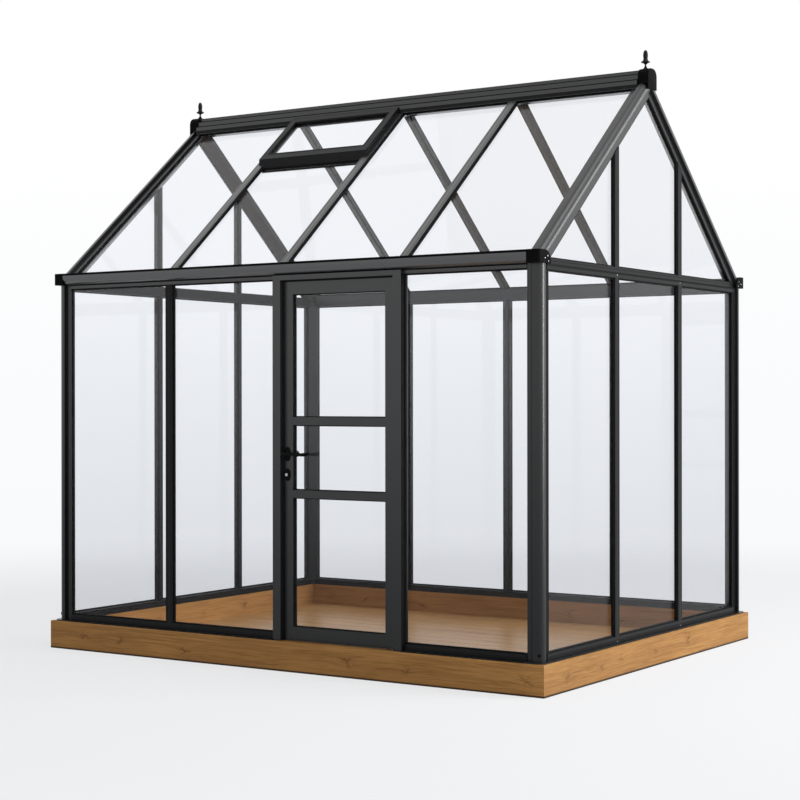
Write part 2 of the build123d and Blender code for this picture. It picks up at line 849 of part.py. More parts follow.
# Door leaf: two stiles with four rails between them and a pane in each of the three openings
leaf_low_x = latch_jamb_face + leaf_side_gap
leaf_high_x = hinge_jamb_face - leaf_side_gap
leaf_bottom = base_height + leaf_end_gap
leaf_top = header_bottom - leaf_end_gap
latch_edge = leaf_low_x + latch_stile
hinge_edge = leaf_high_x - hinge_stile
handle_x = leaf_low_x + handle_inset
leaf_front_y = leaf_setback - half_width
leaf_back_y = leaf_inner - half_width
spindle_bore = spindle_radius + spindle_gap

with BuildPart() as door_stiles:
    with BuildSketch(Plane.XY.offset(leaf_bottom)):
        wall_block("front", leaf_low_x, latch_edge, leaf_setback, leaf_inner)
        wall_block("front", hinge_edge, leaf_high_x, leaf_setback, leaf_inner)
    extrude(amount=leaf_top - leaf_bottom)
    with BuildSketch(Plane.XZ.offset(-leaf_back_y)):
        with Locations((handle_x, handle_height)):
            Circle(spindle_bore)
    extrude(amount=leaf_thickness, mode=Mode.SUBTRACT)
keep(door_stiles, "door_stiles")

rail_heights = (
    (leaf_bottom, leaf_bottom + bottom_rail),
    (lower_bar_height, lower_bar_height + lower_bar),
    (upper_bar_height, upper_bar_height + upper_bar),
    (leaf_top - top_rail, leaf_top),
)
with BuildPart() as door_rails:
    for low_height, high_height in rail_heights:
        with BuildSketch(Plane.XY.offset(low_height)):
            wall_block("front", latch_edge, hinge_edge, leaf_setback, leaf_inner)
        extrude(amount=high_height - low_height)
keep(door_rails, "door_rails")

door_pane_depth = leaf_setback + leaf_thickness / 2 - glass_thickness / 2
with BuildPart() as door_panes:
    for below, above in zip(rail_heights, rail_heights[1:]):
        with BuildSketch(Plane.XY.offset(below[1])):
            wall_block(
                "front",
                latch_edge + pane_clearance,
                hinge_edge - pane_clearance,
                door_pane_depth,
                door_pane_depth + glass_thickness,
            )
        extrude(amount=above[0] - below[1] - pane_clearance)
keep(door_panes, "door_panes")

# Lift-off hinges inside: the lower half with its pin on the jamb, the upper half on the leaf
hinge_x = (leaf_high_x + hinge_jamb_face) / 2
hinge_y = leaf_back_y + hinge_axis_offset
half_hinge = hinge_length / 2

with BuildPart() as hinge_pins:
    for height in hinge_heights:
        with BuildSketch(Plane.XY.offset(height - half_hinge)):
            with Locations((hinge_x, hinge_y)):
                Circle(hinge_barrel_radius)
            block(hinge_x, hinge_x + hinge_plate_width, leaf_back_y, leaf_back_y + hinge_plate_thickness)
        extrude(amount=half_hinge)
        with BuildSketch(Plane.XY.offset(height)):
            with Locations((hinge_x, hinge_y)):
                Circle(hinge_pin_radius)
        extrude(amount=half_hinge)
keep(hinge_pins, "hinge_pins")

with BuildPart() as hinge_sleeves:
    for height in hinge_heights:
        with BuildSketch(Plane.XY.offset(height + hinge_end_gap)):
            with Locations((hinge_x, hinge_y)):
                Circle(hinge_barrel_radius)
            block(hinge_x - hinge_plate_width, hinge_x, leaf_back_y, leaf_back_y + hinge_plate_thickness)
            with Locations((hinge_x, hinge_y)):
                Circle(hinge_pin_radius + hinge_running_gap, mode=Mode.SUBTRACT)
        extrude(amount=half_hinge - hinge_end_gap)
keep(hinge_sleeves, "hinge_sleeves")

# Oval roses and keyhole plates on both faces of the leaf, with the lock cylinder standing out of each plate
with BuildPart() as lock_plates:
    for face_y, outward in ((leaf_front_y, -1), (leaf_back_y, 1)):
        with BuildSketch(Plane.XZ.offset(-face_y)):
            with Locations((handle_x, handle_height), (handle_x, handle_height - keyhole_drop)):
                SlotOverall(rose_height, rose_width, rotation=90)
            with Locations((handle_x, handle_height)):
                Circle(spindle_bore, mode=Mode.SUBTRACT)
        extrude(amount=rose_thickness, dir=(0, outward, 0))
        with BuildSketch(Plane.XZ.offset(-face_y)):
            with Locations((handle_x, handle_height - keyhole_drop)):
                Circle(cylinder_radius)
        extrude(amount=rose_thickness + cylinder_reach, dir=(0, outward, 0))
keep(lock_plates, "lock_plates")

# Lever handle outside and round knob inside, joined by the spindle through the stile
lever_stand_depth = leaf_thickness + 2 * lever_stand
outside_stand_y = leaf_front_y - lever_stand
neck_length = lever_stand - rose_thickness - spindle_gap
with BuildPart() as lever:
    with BuildSketch(Plane.XZ.offset(-outside_stand_y - lever_stand_depth)):
        with Locations((handle_x, handle_height)):
            Circle(spindle_radius)
    extrude(amount=lever_stand_depth)
    for neck_plane in (
        Plane.XZ.offset(-outside_stand_y - neck_length),
        Plane.XZ.offset(-outside_stand_y - lever_stand_depth),
    ):
        with BuildSketch(neck_plane):
            with Locations((handle_x, handle_height)):
                Circle(neck_radius)
        extrude(amount=neck_length)
    with BuildSketch(Plane.XZ.offset(-outside_stand_y - lever_thickness)):
        with Locations((handle_x + lever_length / 2 - lever_width / 2, handle_height)):
            SlotOverall(lever_length, lever_width)
    extrude(amount=lever_thickness)
    with BuildSketch(Plane.XZ.offset(-outside_stand_y - lever_stand_depth)):
        with Locations((handle_x, handle_height)):
            Circle(knob_radius)
    extrude(amount=lever_thickness)
keep(lever, "lever_handle")
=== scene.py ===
import json
import math

import bmesh
import bpy
import numpy as np
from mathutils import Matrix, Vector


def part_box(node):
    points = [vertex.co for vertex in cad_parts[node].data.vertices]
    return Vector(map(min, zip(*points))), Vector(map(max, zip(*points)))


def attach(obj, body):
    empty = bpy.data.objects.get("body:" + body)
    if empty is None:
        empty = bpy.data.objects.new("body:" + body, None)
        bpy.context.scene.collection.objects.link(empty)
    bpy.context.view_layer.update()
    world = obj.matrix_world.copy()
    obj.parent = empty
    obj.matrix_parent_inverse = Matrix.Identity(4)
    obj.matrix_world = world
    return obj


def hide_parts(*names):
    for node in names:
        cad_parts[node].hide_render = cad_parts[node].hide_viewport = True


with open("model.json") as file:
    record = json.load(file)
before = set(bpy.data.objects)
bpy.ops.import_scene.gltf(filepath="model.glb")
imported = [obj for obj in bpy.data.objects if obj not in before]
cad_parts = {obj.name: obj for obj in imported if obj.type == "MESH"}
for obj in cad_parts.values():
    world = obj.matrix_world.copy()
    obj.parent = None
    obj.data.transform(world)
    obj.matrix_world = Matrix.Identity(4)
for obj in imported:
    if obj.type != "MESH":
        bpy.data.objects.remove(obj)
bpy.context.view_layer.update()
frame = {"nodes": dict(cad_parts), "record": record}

nodes = frame["nodes"]
finish_of = {row["node"]: row["material_slot"] for row in frame["record"]["subparts"]}


# Timber base: four sawn oak beams, mitred at the corners and oiled.
# The grain runs the length of each beam, with fine fibres, short dark checks and a few small knots.

class Shade:
    """One socket of a node tree. Operators add Math nodes and make() adds any other node."""

    def __init__(self, tree, socket=None):
        self.tree, self.socket = tree, socket

    def make(self, kind, settings=None, inputs=None, output=0):
        """Add a node of a kind, give it its settings, then its inputs, and wrap one of its outputs."""
        node = self.tree.nodes.new("ShaderNode" + kind)
        for name, value in (settings or {}).items():
            setattr(node, name, value)
        for name, value in (inputs or {}).items():
            if isinstance(value, Shade):
                self.tree.links.new(value.socket, node.inputs[name])
            else:
                node.inputs[name].default_value = value
        return Shade(self.tree, node.outputs[output])

    def maths(self, operation, *others):
        """Math node with this value first."""
        return self.make("Math", {"operation": operation}, dict(enumerate((self,) + others)))

    def __add__(self, other):
        return self.maths("ADD", other)

    __radd__ = __add__

    def __sub__(self, other):
        return self.maths("SUBTRACT", other)

    def __rsub__(self, other):
        return self.make("Math", {"operation": "SUBTRACT"}, {0: other, 1: self})

    def __mul__(self, other):
        return self.maths("MULTIPLY", other)

    def __truediv__(self, other):
        return self.maths("DIVIDE", other)

    def __pow__(self, other):
        return self.maths("POWER", other)

    def between(self, low, high):
        """0 below low, 1 above high and a smooth step between them."""
        settings = {"interpolation_type": "SMOOTHSTEP"}
        return self.make("MapRange", settings, {"Value": self, "From Min": low, "From Max": high})

    def blend(self, first, second):
        """Colour that goes from first to second as this value goes from 0 to 1."""
        return self.make("Mix", {"data_type": "RGBA"}, {0: self, 6: first, 7: second}, output=2)

    def noise(self, x, y, z, detail=2.0, rough=0.5):
        """Soft noise, 0 to 1, at a point whose three coordinates are already scaled."""
        place = self.make("CombineXYZ", None, {0: x, 1: y, 2: z})
        inputs = {"Vector": place, "Scale": 1.0, "Detail": detail, "Roughness": rough}
        return self.make("TexNoise", None, inputs)


def new_material(name):
    """Empty material: its surface output socket and the object's own coordinates as x, y and z."""
    material = bpy.data.materials.new(name)
    material.use_nodes = True
    tree = material.node_tree
    tree.nodes.clear()
    surface = tree.nodes.new("ShaderNodeOutputMaterial").inputs["Surface"]
    start = Shade(tree)
    split = start.make("SeparateXYZ", None, {0: start.make("TexCoord", output=3)})
    axes = [Shade(tree, socket) for socket in split.socket.node.outputs]
    return material, surface, axes


def lay(surface, shader):
    """Put a shader on a material's surface."""
    surface.id_data.links.new(shader.socket, surface)


def dress(names, material):
    """Give CAD pieces a material."""
    for name in names:
        for place in nodes[name].material_slots:
            place.material = material


def oak(name, along, pale, dark, gloss, shine, knots=(), board=None):
    """Oiled oak: soft bands, fibres, thin rings and short dark checks, drawn out along the grain.

    They bend round the knots. Boards that carry a number of their own each get their own stretch of grain.
    """
    material, surface, (x, y, z) = new_material(name)
    run, side = (x, y) if along == "x" else (y, x)
    if board:
        run_shift, side_shift = 9.0, 0.7
        shift = run.make("Attribute", {"attribute_name": board}, output=2)
        run = run + shift * run_shift
        side = side + shift * side_shift
    grain_lean, knot_stretch = 0.83, 1.6
    level = z + side * grain_lean
    swell = 0.0
    heart = 0.0
    for knot_run, knot_level, knot_size in knots:
        stretch = (run - knot_run) / knot_stretch
        rise = z - knot_level
        gap = (stretch * stretch + rise * rise) ** 0.5
        swell = (gap * gap * (-0.16 / knot_size ** 2)).maths("EXPONENT") * (1.3 * knot_size) + swell
        angle = rise.maths("ARCTAN2", stretch)
        spokes = run.noise(angle * 3.2, gap * 22.0, knot_run * 7.0).between(0.5, 0.6)
        ragged = run.noise(run * 110.0, side * 90.0, z * 110.0, detail=3.0, rough=0.65) * 3.0 * knot_size
        core = 1.0 - (gap + ragged).between(1.2 * knot_size, 2.4 * knot_size)
        heart = spokes * (1.0 - gap.between(0.6 * knot_size, 3.4 * knot_size)) * 0.75 + core * 0.8 + heart
    level = level + run.noise(run * 1.4, level * 4.0, side * 2.0) * 0.025 + swell
    band = run.noise(run * 0.9, level * 42.0, 4.0)
    fibre = run.noise(run * 4.5, level * 125.0, side * 40.0, detail=3.0, rough=0.6)
    thread = run.noise(run * 12.0, level * 340.0, side * 200.0, detail=3.0)
    cloud = run.noise(run * 2.2, side * 4.0, z * 7.0, detail=3.0)
    depth = (band - 0.5) * 0.6 + (fibre - 0.5) * 0.9 + (thread - 0.5) * 0.7 + (cloud - 0.5) * 0.6 + 0.5
    colour = depth.between(0.0, 1.0).blend(pale, dark)
    contour = run.noise(run * 1.1, level * 48.0, 9.0, detail=1.0) - 0.5
    ring = 1.0 - contour.maths("ABSOLUTE").between(0.006, 0.03)
    check = run.noise(run * 8.0, level * 170.0, side * 60.0).between(0.62, 0.72)
    # Painted shade: the lowest few millimetres of every beam and board darken towards the ground, for the
    # shadow line along the floor.
    foot_painted_shade = 1.0 - z.between(0.005, 0.013)
    marks = (ring * 0.22 + check * 0.24 + heart * 0.75).maths("MINIMUM", 0.9)
    colour = marks.blend(colour, (0.34 * dark[0], 0.22 * dark[1], 0.18 * dark[2], 1.0))
    colour = foot_painted_shade.blend(colour, (0.1 * dark[0], 0.1 * dark[1], 0.12 * dark[2], 1.0))
    height = fibre * 0.6 + thread * 0.3 - check * 0.5 - heart * 0.4
    bump = run.make("Bump", None, {"Height": height, "Strength": 0.25, "Distance": 0.001})
    rough = gloss + fibre * 0.14 + check * 0.1
    inputs = {"Base Color": colour, "Roughness": rough, "Normal": bump, "Specular IOR Level": shine}
    lay(surface, run.make("BsdfPrincipled", None, inputs))
    return material


# Painted light: the long beams get a slightly paler copy of the right beam's oak and the left beam a much
# paler one, making up for lamp light their faces lack.
long_lit_pale, long_lit_dark = (0.515, 0.264, 0.08, 1.0), (0.28, 0.128, 0.034, 1.0)
right_pale, right_dark = (0.475, 0.246, 0.077, 1.0), (0.262, 0.122, 0.033, 1.0)
left_lit_pale, left_lit_dark = (0.6, 0.315, 0.1, 1.0), (0.36, 0.17, 0.046, 1.0)
# Each knot has a place along the beam, a height and a size.
long_knots = ((-1.285, 0.085, 0.011), (-1.035, 0.072, 0.009), (-0.585, 0.054, 0.011), (0.45, 0.075, 0.012),
              (0.8, 0.06, 0.009), (1.45, 0.069, 0.013))
end_knots = ((-0.99, 0.064, 0.011), (-0.62, 0.06, 0.009), (-0.42, 0.085, 0.01), (-0.02, 0.075, 0.008),
             (0.38, 0.09, 0.012))
dress(["base_front_beam", "base_back_beam"],
      oak("oak_long_lit", "x", long_lit_pale, long_lit_dark, gloss=0.5, shine=0.2, knots=long_knots))
dress(["base_right_beam"],
      oak("oak_end", "y", right_pale, right_dark, gloss=0.5, shine=0.2, knots=end_knots))
dress(["base_left_beam"],
      oak("oak_left_end_lit", "y", left_lit_pale, left_lit_dark, gloss=0.5, shine=0.2, knots=end_knots))


# Deck: planed oak boards laid side by side along the ridge line, eased at their edges and oiled.
# They lie on the ground between the base beams.

def strip_faces(rows, columns, wrap_rows, wrap_columns):
    """Quads of a grid of rows by columns, joined round on itself in either direction where asked."""
    row = np.arange(rows if wrap_rows else rows - 1)[:, None]
    column = np.arange(columns if wrap_columns else columns - 1)[None, :]
    next_row, next_column = (row + 1) % rows, (column + 1) % columns
    corners = (row * columns + column, next_row * columns + column,
               next_row * columns + next_column, row * columns + next_column)
    return np.stack(np.broadcast_arrays(*corners), axis=-1).reshape(-1, 4).tolist()


def loft(loops):
    """Skin over rows of loops that have the same number of points, closed by the first and last loop."""
    loops = np.asarray(loops, float)
    rows, columns = loops.shape[:2]
    faces = strip_faces(rows, columns, False, True)
    faces += [list(range(columns)), list(range((rows - 1) * columns, rows * columns))]
    return loops.reshape(-1, 3), faces


def gather(shapes):
    """Several shapes, each its points and its faces, as one."""
    starts = np.cumsum([0] + [len(points) for points, faces in shapes])
    joined = [[corner + int(start) for corner in face]
              for (points, faces), start in zip(shapes, starts) for face in faces]
    return np.concatenate([points for points, faces in shapes]), joined


def new_piece(name, shape, body, material, replaced=(), crease=None, values=None):
    """Mesh object from a closed shape, faces outwards, riding on a body.

    Edges sharper than the crease angle stay sharp. Values are numbers that each point carries.
    """
    points, faces = shape
    mesh = bpy.data.meshes.new(name)
    mesh.from_pydata(points.tolist(), [], faces)
    for label, numbers in (values or {}).items():
        mesh.attributes.new(label, "FLOAT", "POINT").data.foreach_set("value", numbers.astype(np.float32))
    shell = bmesh.new()
    shell.from_mesh(mesh)
    bmesh.ops.remove_doubles(shell, verts=shell.verts[:], dist=1e-6)
    bmesh.ops.recalc_face_normals(shell, faces=shell.faces[:])
    shell.to_mesh(mesh)
    shell.free()
    if crease:
        mesh.polygons.foreach_set("use_smooth", np.ones(len(mesh.polygons), bool))
        mesh.set_sharp_from_angle(angle=math.radians(crease))
    mesh.materials.append(material)
    piece = bpy.data.objects.new(name, mesh)
    bpy.context.scene.collection.objects.link(piece)
    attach(piece, body)
    if replaced:
        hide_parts(*replaced)


deck_low, deck_high = (np.array(corner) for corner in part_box("floor_deck"))
board_count, board_gap, board_edge, board_seed = 16, 0.0016, 0.003, 7
board_pitch = (deck_high[1] - deck_low[1]) / board_count
half_board = board_pitch / 2 - board_gap / 2
board_tall = deck_high[2] - deck_low[2]
# The section is a rectangle whose two top edges are cut off at 45 degrees. It is carried from end to end.
board_section = np.array([
    (-half_board, 0.0), (half_board, 0.0), (half_board, board_tall - board_edge),
    (half_board - board_edge, board_tall), (board_edge - half_board, board_tall),
    (-half_board, board_tall - board_edge),
])


def board(middle):
    """One deck board about a middle line: the section at both ends of the deck."""
    loops = np.empty((2, len(board_section), 3))
    loops[..., 0] = np.array([deck_low[0], deck_high[0]])[:, None]
    loops[..., 1] = middle + board_section[:, 0]
    loops[..., 2] = deck_low[2] + board_section[:, 1]
    return loft(loops)


board_middles = deck_low[1] + board_pitch * (np.arange(board_count) + 0.5)
board_shifts = np.repeat(np.random.default_rng(board_seed).random(board_count), 2 * len(board_section))
deck_pale, deck_dark = (0.72, 0.41, 0.16, 1.0), (0.35, 0.172, 0.058, 1.0)
deck_oak = oak("oiled_boards", "x", deck_pale, deck_dark, gloss=0.24, shine=0.3, board="board_shift")
new_piece("deck_boards", gather([board(middle) for middle in board_middles]), "frame",
          deck_oak, ["floor_deck"], values={"board_shift": board_shifts})


# Metal frame: sills, bars, rails, rafters and ridge, extruded in aluminium and powder coated anthracite.
# The pieces are bolted together from inside.

def coat(name, tone, rough, grain, shine, painted_top_sheen=0.0):
    """Powder coat: a dark even colour with a fine pebbled skin.

    A painted sheen adds a clear top coat that thickens upwards, standing in for the light that falls from
    above.
    """
    material, surface, (x, y, z) = new_material(name)
    pebbles = 900.0
    speck = x.noise(x * pebbles, y * pebbles, z * pebbles, detail=1.0)
    patch = x.noise(x * 2.1, y * 2.1, z * 1.3)
    shade = speck * 0.55 + patch * 0.45
    colour = shade.blend([0.8 * part for part in tone] + [1.0], [1.2 * part for part in tone] + [1.0])
    bump = x.make("Bump", None, {"Height": speck, "Strength": grain, "Distance": 0.0003})
    roughness = rough + speck * 0.03 + patch * 0.05
    inputs = {"Base Color": colour, "Roughness": roughness, "Normal": bump, "Specular IOR Level": shine}
    if painted_top_sheen:
        inputs.update({"Coat Weight": z.between(-0.2, 2.1) * painted_top_sheen, "Coat Roughness": 0.3})
    lay(surface, x.make("BsdfPrincipled", None, inputs))
    return material


anthracite = coat("anthracite_coat", (0.0125, 0.0135, 0.0148), rough=0.27, grain=0.02, shine=0.26, painted_top_sheen=0.9)
dress([name for name in nodes if finish_of[name] == "frame_metal"], anthracite)
# Painted shade: the dark coat is a darker copy of the anthracite coat, for the vent, the front mullion, the
# sills and the gable mullions and rails.
shaded_dark_coat = coat("shaded_dark_coat", (0.0085, 0.009, 0.0098), rough=0.32, grain=0.02, shine=0.13)
dark_pieces = ["vent_stiles", "vent_rails", "vent_cross_bar", "front_mullion"]
dark_pieces += [name for name in nodes if name.endswith(("_sill", "gable_mullions", "gable_rail"))]
dress(dark_pieces, shaded_dark_coat)
# Painted light: the rafters get a lighter, shinier copy of the same coat.
lit_roof_coat = coat("lit_roof_coat", (0.019, 0.0202, 0.022), rough=0.27, grain=0.02, shine=0.38, painted_top_sheen=1.0)
dress(["front_rafters", "back_rafters"], lit_roof_coat)


# Corner posts: one quarter-round profile, extruded in aluminium and powder coated, proud at the nose and
# with a grooved ear along each pane. Each stands on the base on a round-cornered foot plate.

def arc(centre, radius, first, last, count):
    """Points of a circle between two angles in degrees."""
    angle = np.radians(np.linspace(first, last, count))
    return np.stack([centre[0] + radius * np.cos(angle), centre[1] + radius * np.sin(angle)], axis=-1)


half_length, half_width = 1.5, 1.17
base_top, post_top = (corner[2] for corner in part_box("front_left_post"))
ear_reach = 0.07
# Distances from the outside corner along one wall and in from its face. The other half mirrors this one.
ear_outline = np.array([
    (0.034, -0.012), (0.034, 0.004), (0.038, 0.004), (0.038, 0.0055), (0.0405, 0.0055), (0.0405, 0.004),
    (0.0445, 0.004), (0.0445, 0.0055), (0.047, 0.0055), (0.047, 0.004),
    (ear_reach, 0.004), (ear_reach, 0.0185), (0.058, 0.0185), (0.058, 0.0235), (ear_reach, 0.0235),
    (ear_reach, 0.0295),
])
nose_centre, nose_radius = 0.026, 0.038
nose_arc = arc((nose_centre, nose_centre), nose_radius, 180.0, 270.0, 19)
corner_outline = np.concatenate([nose_arc, ear_outline, ear_outline[::-1, ::-1]])
foot_tall, foot_overhang, foot_round = 0.006, 0.03, 0.04
foot_centre = foot_round - foot_overhang
foot_outline = np.concatenate([
    arc((foot_centre, foot_centre), foot_round, 180.0, 270.0, 13),
    [(ear_reach, -foot_overhang), (ear_reach, ear_reach), (-foot_overhang, ear_reach)],
])
corners = [(end, side) for end in (-1, 1) for side in (-1, 1)]


def upright(outline, end, side, low, high):
    """Outline in plan at one corner of the frame, carried from one height to another."""
    loops = np.empty((2, len(outline), 3))
    loops[..., 0] = end * (half_length - outline[:, 0])
    loops[..., 1] = side * (half_width - outline[:, 1])
    loops[..., 2] = np.array([low, high])[:, None]
    return loft(loops)


post_shapes = [upright(corner_outline, end, side, base_top, post_top) for end, side in corners]
post_shapes += [upright(foot_outline, end, side, base_top, base_top + foot_tall) for end, side in corners]
corner_names = [f"{front}_{left}" for left in ("left", "right") for front in ("front", "back")]
# The corner coat is a rougher copy of the anthracite coat, and its slightly darker tone is painted shade on
# the posts and barge bars.
corner_coat = coat("corner_coat", (0.0105, 0.0112, 0.0125), rough=0.3, grain=0.01, shine=0.22, painted_top_sheen=0.66)
new_piece("corner_posts", gather(post_shapes), "frame", corner_coat,
          [f"{name}_post" for name in corner_names], crease=25.0)


# Barge bars: the same coated profile laid up each slope and mitred at the ridge.
# Their feet are cut off level on the posts.

roof_angle = math.radians(40.0)
roof_slope = math.tan(roof_angle)
roof_cosine = math.cos(roof_angle)
apex = 3.00975
eave_run = 1.156


def roof_height(run, depth):
    """Height at a plan distance from the ridge line and a depth square to the roof face."""
    return apex - run * roof_slope - depth / roof_cosine


def barge(end, side):
    """Corner outline from the ridge plane down to the eave, or to the post's top where that comes first."""
    depth = corner_outline[:, 1]
    foot_run = np.minimum(eave_run, (roof_height(0.0, depth) - post_top) / roof_slope)
    runs = np.stack([np.zeros(len(depth)), foot_run])
    loops = np.empty((2, len(depth), 3))
    loops[..., 0] = end * (half_length - corner_outline[:, 0])
    loops[..., 1] = side * runs
    loops[..., 2] = roof_height(runs, depth)
    return loft(loops)


barge_shapes = [barge(end, side) for end, side in corners]
new_piece("barge_bars", gather(barge_shapes), "frame", corner_coat,
          [f"{name}_barge" for name in corner_names], crease=25.0)


# Gutters: rolled troughs of coated metal along both eaves, quarter-round outside, with a black bead on the
# lip whose black is painted shade under the lip. They hang on the eave rails between the corner caps, over a
# black strip of painted shade.

gutter_low, gutter_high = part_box("front_gutter")
gutter_reach = -gutter_low[1]
lip = gutter_high[2]
trough_radius, sheet, hook_tall = 0.042, 0.003, 0.012
bead_tall, bead_wide, bead_round, bead_ledge = 0.012, 0.006, 0.003, 0.001
trough_centre = (gutter_reach - trough_radius, post_top + trough_radius)
gutter_outline = np.concatenate([
    arc(trough_centre, trough_radius, 270.0, 360.0, 19),
    [(gutter_reach, lip - bead_tall), (gutter_reach - sheet, lip - bead_tall)],
    arc(trough_centre, trough_radius - sheet, 360.0, 270.0, 19),
    [(eave_run + sheet, post_top + sheet), (eave_run + sheet, post_top + hook_tall),
     (eave_run, post_top + hook_tall), (eave_run, post_top)],
])
# Painted shade: the bead is black to stand for the shade under the gutter's lip.
bead_outline = np.concatenate([
    [(gutter_reach - bead_wide, lip - bead_tall), (gutter_reach - bead_ledge, lip - bead_tall)],
    arc((gutter_reach - bead_round, lip - bead_round), bead_round, 0.0, 90.0, 7),
    [(gutter_reach - bead_wide, lip)],
])
# Painted shade: a thin black strip fills the gap under the gutter, along the eave rail.
gap_face, gap_low, gap_high = half_width + 0.002, post_top - 0.005, post_top + 0.0002
gap_outline = np.array([(eave_run, gap_low), (gap_face, gap_low), (gap_face, gap_high), (eave_run, gap_high)])


def along_eave(outline, side, reach):
    """Outline of distance from the ridge line and height, carried along one eave between two ends."""
    loops = np.empty((2, len(outline), 3))
    loops[..., 0] = np.array([-reach, reach])[:, None]
    loops[..., 1] = side * outline[:, 0]
    loops[..., 2] = outline[:, 1]
    return loft(loops)


# Painted light: the gutters get a paler, shinier copy of the coat, standing in for the light along their
# faces.
lit_gutter_coat = coat("lit_gutter_coat", (0.028, 0.0295, 0.032), rough=0.25, grain=0.02, shine=0.5, painted_top_sheen=1.0)
gutters = [along_eave(gutter_outline, side, gutter_high[0]) for side in (-1, 1)]
new_piece("gutters", gather(gutters), "frame", lit_gutter_coat, ["front_gutter", "back_gutter"],
          crease=25.0)
black_moulding = coat("black_moulding", (0.006, 0.006, 0.0065), rough=0.4, grain=0.03, shine=0.015)
gutter_shade_trims = [along_eave(bead_outline, side, gutter_high[0]) for side in (-1, 1)]
gutter_shade_trims += [along_eave(gap_outline, side, half_length - ear_reach) for side in (-1, 1)]
new_piece("gutter_shade_beads", gather(gutter_shade_trims), "frame", black_moulding, crease=25.0)


# Gutter corner caps: black plastic mouldings that close the gutter ends and wrap round the barge feet.
# Each has a rounded upright edge and a rounded shoulder, and three small screws hold it.

dress([name for name in nodes if finish_of[name] == "black_plastic"], black_moulding)
cap_start, cap_end = gutter_high[0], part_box("front_gutter_caps")[1][0]
cap_inner, cap_plate = 1.1, 1.512
cap_edge, shoulder = 0.02, 0.052


def gutter_cap(end, side):
    """Upright slices from front to back, each from the gutter or the plate to a rounded edge and shoulder."""
    front = gutter_reach - cap_edge * (1.0 - np.cos(np.linspace(0.0, math.pi / 2, 9)))
    block = np.concatenate([front, [eave_run]])
    plate = cap_inner + shoulder * (1.0 - np.sin(np.linspace(0.0, math.pi / 2, 13)))
    reach = np.concatenate([block, [eave_run], plate])
    start = np.where(np.arange(len(reach)) < len(block), cap_start, cap_plate)
    turn = np.clip(cap_edge - (gutter_reach - reach), 0.0, cap_edge)
    finish = cap_end - cap_edge + np.sqrt(cap_edge ** 2 - turn ** 2)
    drop = np.clip(cap_inner + shoulder - reach, 0.0, shoulder)
    top = lip - shoulder + np.sqrt(shoulder ** 2 - drop ** 2)
    foot = np.full(len(reach), post_top)
    columns = ((start, foot), (finish, foot), (finish, top), (start, top))
    rims = [np.stack([end * along, side * reach, height], axis=-1) for along, height in columns]
    return loft(np.stack(rims, axis=1))


gutter_caps = [gutter_cap(end, side) for end, side in corners]
new_piece("gutter_corner_caps", gather(gutter_caps), "frame", black_moulding,
          ["front_gutter_caps", "back_gutter_caps"], crease=30.0)


# Ridge caps: black plastic mouldings pushed over the ridge ends, round at the top and flat at the crown.
# A thin plate hangs down over the mitre of the barge bars.

ridge_cap_low, ridge_cap_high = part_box("ridge_caps")
cap_half, cap_crown = ridge_cap_high[1:]
cap_foot = ridge_cap_low[2]
cap_round, cap_lip = 0.04, 0.004
saddle_start, saddle_lift = 1.458, 0.012


def ridge_cap(end):
    """Outlines from the ridge to the end: a saddle over the bars, a plate, and a lip that is rounded in."""
    left = arc((cap_round - cap_half, cap_crown - cap_round), cap_round, 180.0, 90.0, 11)
    right = arc((cap_half - cap_round, cap_crown - cap_round), cap_round, 90.0, 0.0, 11)
    top = np.concatenate([left, right])
    feet = (cap_half, 0.0, -cap_half)
    saddle = np.concatenate([top, [(across, roof_height(abs(across), -saddle_lift)) for across in feet]])
    plate = np.concatenate([top, [(across, cap_foot) for across in feet]])
    middle = np.array([0.0, (cap_foot + cap_crown) / 2])
    reach = np.array([cap_half, (cap_crown - cap_foot) / 2])
    turns = np.linspace(0.0, math.pi / 2, 6)
    rims = [middle + (plate - middle) * (1.0 - cap_lip * (1.0 - math.cos(turn)) / reach) for turn in turns]
    outlines = np.array([saddle, saddle, plate] + rims)
    places = np.concatenate([[saddle_start, cap_plate, cap_plate],
                             ridge_cap_high[0] - cap_lip + cap_lip * np.sin(turns)])
    loops = np.empty(outlines.shape[:2] + (3,))
    loops[..., 0] = end * places[:, None]
    loops[..., 1:] = outlines
    return loft(loops)


new_piece("ridge_end_caps", gather([ridge_cap(end) for end in (-1, 1)]), "frame",
          black_moulding, ["ridge_caps"], crease=30.0)


# Finials: black turned spindles with the dark coat of the bars, standing on the ridge caps.
# Each has a flared foot, a waist, a sharp disc and a bud.

def turned(outline, centre, axis, count):
    """Outline of radius and height, turned about an axis through a centre."""
    axis = np.array(axis, float)
    aside = np.cross(axis, (0.0, 0.0, 1.0) if abs(axis[2]) < 0.9 else (1.0, 0.0, 0.0))
    aside /= np.linalg.norm(aside)
    other = np.cross(axis, aside)
    angle = np.linspace(0.0, 2.0 * math.pi, count, endpoint=False)
    ring = np.cos(angle)[:, None] * aside + np.sin(angle)[:, None] * other
    outline = np.asarray(outline)
    loops = np.array(centre) + outline[:, :1, None] * ring + outline[:, 1:, None] * axis
    return loops.reshape(-1, 3), strip_faces(len(outline), count, False, True)


